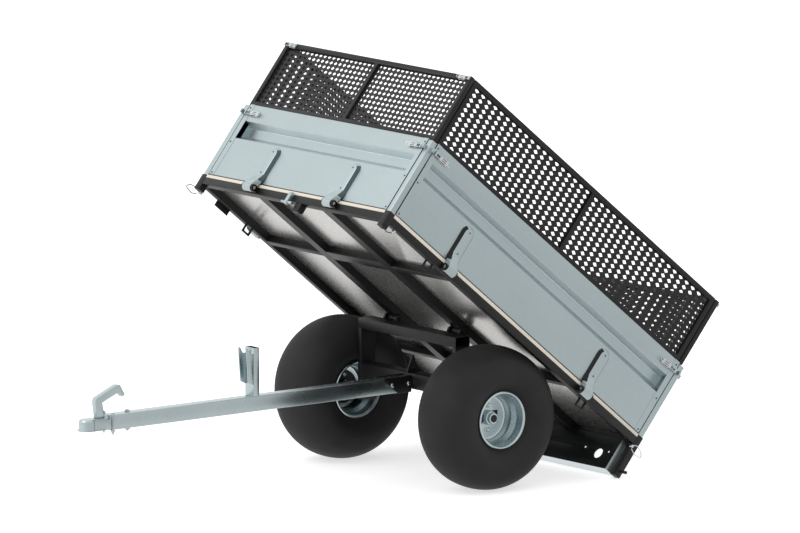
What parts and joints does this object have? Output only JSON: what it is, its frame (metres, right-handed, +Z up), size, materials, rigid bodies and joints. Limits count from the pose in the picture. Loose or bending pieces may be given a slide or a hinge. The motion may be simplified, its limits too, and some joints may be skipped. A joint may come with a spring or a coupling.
{
  "type": "tipping car trailer with drop sides and mesh extensions",
  "caption": "Small two-wheeled car trailer with a tipped-back bed, drop sides, mesh extensions, a single drawbar and a ball coupling.",
  "frame": {"origin": "on the ground under the middle of the trailer's overall box", "axes": "+X forward along the drawbar, +Y to the trailer's left, +Z up"},
  "size_m": [2.6604, 1.252, 1.6289],
  "materials": {
    "galvanised": "matt zinc",
    "black_frame": "satin black",
    "rubber": "matt",
    "plywood": "smooth coated",
    "black_plastic": "matt",
    "cast": "galvanised casting"
  },
  "bodies": {
    "chassis": {"portal_uprights": "black_frame", "portal_top": "black_frame", "axle_beam": "black_frame", "stub_axles": "black_frame", "pivot_ears": "black_frame", "drawbar": "galvanised", "drawbar_socket": "black_frame", "coupling": "cast", "coupling_handle": "galvanised", "coupling_bolts": "galvanised", "rest_post": "galvanised", "rest_latch": "galvanised", "beam_gusset": "black_frame"},
    "wheel_left": {"tyre_left": "rubber", "rim_left": "galvanised", "hub_left": "galvanised"},
    "wheel_right": {"tyre_right": "rubber", "rim_right": "galvanised", "hub_right": "galvanised"},
    "bed": {"side_rails": "black_frame", "end_rails": "black_frame", "longitudinals": "black_frame", "cross_members": "black_frame", "floor": "plywood", "corner_sockets": "black_frame", "corner_posts": "galvanised", "lamp_panel": "galvanised", "tie_loops": "black_frame", "tip_striker": "galvanised", "latch_housing": "black_frame", "latch_hooks": "galvanised", "side_plate": "black_frame", "hinge_pins": "black_frame"},
    "left_side": {"left_panel": "galvanised", "left_straps": "galvanised", "left_latches": "galvanised", "left_mesh_frame": "black_frame", "left_mesh": "black_frame"},
    "right_side": {"right_panel": "galvanised", "right_straps": "galvanised", "right_latches": "galvanised", "right_mesh_frame": "black_frame", "right_mesh": "black_frame"},
    "front_side": {"front_panel": "galvanised", "front_straps": "galvanised", "front_latches": "galvanised", "front_mesh_frame": "black_frame", "front_mesh": "black_frame"},
    "rear_side": {"rear_panel": "galvanised", "rear_straps": "galvanised", "rear_latches": "galvanised", "rear_mesh_frame": "black_frame", "rear_mesh": "black_frame"}
  },
  "joints": [
    {"name": "wheel_left_spin", "type": "hinge", "parent": "chassis", "child": "wheel_left", "pos_m": [-0.27985, 0.45, 0.28], "axis": [0, 1, 0], "continuous": true},
    {"name": "wheel_right_spin", "type": "hinge", "parent": "chassis", "child": "wheel_right", "pos_m": [-0.27985, -0.45, 0.28], "axis": [0, 1, 0], "continuous": true},
    {"name": "bed_tip", "type": "hinge", "parent": "chassis", "child": "bed", "pos_m": [-0.34219, 0, 0.57268], "axis": [0, 1, 0], "range_deg": [0, 39.2]},
    {"name": "left_side_drop", "type": "hinge", "parent": "bed", "child": "left_side", "pos_m": [-0.30929, 0.609, 0.62726], "axis": [-0.7749, 0, -0.632], "range_deg": [0, 90]},
    {"name": "right_side_drop", "type": "hinge", "parent": "bed", "child": "right_side", "pos_m": [-0.30929, -0.609, 0.62726], "axis": [0.7749, 0, 0.632], "range_deg": [0, 90]},
    {"name": "front_side_drop", "type": "hinge", "parent": "bed", "child": "front_side", "pos_m": [0.32539, 0, 1.1449], "axis": [0, 1, 0], "range_deg": [0, 90]},
    {"name": "rear_side_drop", "type": "hinge", "parent": "bed", "child": "rear_side", "pos_m": [-0.94397, 0, 0.10963], "axis": [0, -1, 0], "range_deg": [0, 90]}
  ]
}
